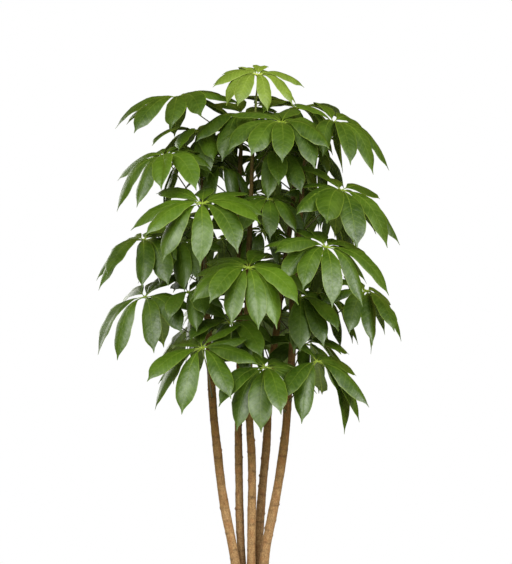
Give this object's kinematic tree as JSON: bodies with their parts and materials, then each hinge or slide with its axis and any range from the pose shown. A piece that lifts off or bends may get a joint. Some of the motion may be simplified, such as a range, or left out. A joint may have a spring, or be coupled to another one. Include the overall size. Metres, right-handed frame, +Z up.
{
  "type": "potted umbrella plant",
  "caption": "Tall potted umbrella plant: slender woody stems from one pot carry long-stalked palmate leaves whose leaflets droop like umbrella ribs.",
  "frame": {"origin": "middle of the pot's flat underside, on the surface that the pot stands on", "axes": "+Z up along the plant, -Y towards the viewer of the picture, +X to the right in it"},
  "size_m": [0.9165, 0.9063, 1.7705],
  "materials": {
    "pot": "matte",
    "soil": "matte",
    "bark": "matte",
    "leaf": "satin",
    "young_leaf": "satin"
  },
  "bodies": {
    "root": {"pot": "pot", "soil": "soil", "stem_1": "bark", "stem_2": "bark", "stem_3": "bark", "stem_4": "bark", "stem_5": "bark", "leaf_01": "leaf", "leaf_02": "leaf", "leaf_03": "leaf", "leaf_04": "leaf", "leaf_05": "leaf", "leaf_06": "leaf", "leaf_07": "leaf", "leaf_08": "leaf", "leaf_09": "leaf", "leaf_10": "leaf", "leaf_11": "leaf", "leaf_12": "leaf", "leaf_13": "leaf", "leaf_14": "leaf", "leaf_15": "young_leaf", "leaf_16": "leaf", "leaf_17": "leaf", "leaf_18": "leaf", "leaf_19": "leaf", "leaf_20": "leaf", "leaf_21": "leaf", "leaf_22": "leaf", "leaf_23": "leaf", "leaf_24": "leaf", "leaf_25": "leaf", "leaf_26": "leaf", "leaf_27": "leaf", "leaf_28": "leaf", "leaf_29": "leaf", "leaf_30": "leaf", "leaf_31": "leaf", "leaf_32": "leaf", "leaf_33": "leaf", "leaf_34": "leaf", "leaf_35": "leaf", "leaf_36": "leaf", "leaf_37": "leaf", "leaf_38": "leaf", "leaf_39": "leaf", "leaf_40": "leaf", "leaf_41": "leaf", "leaf_42": "leaf", "leaf_43": "leaf", "leaf_44": "leaf", "leaf_45": "leaf", "leaf_46": "leaf", "leaf_47": "leaf"}
  },
  "joints": []
}
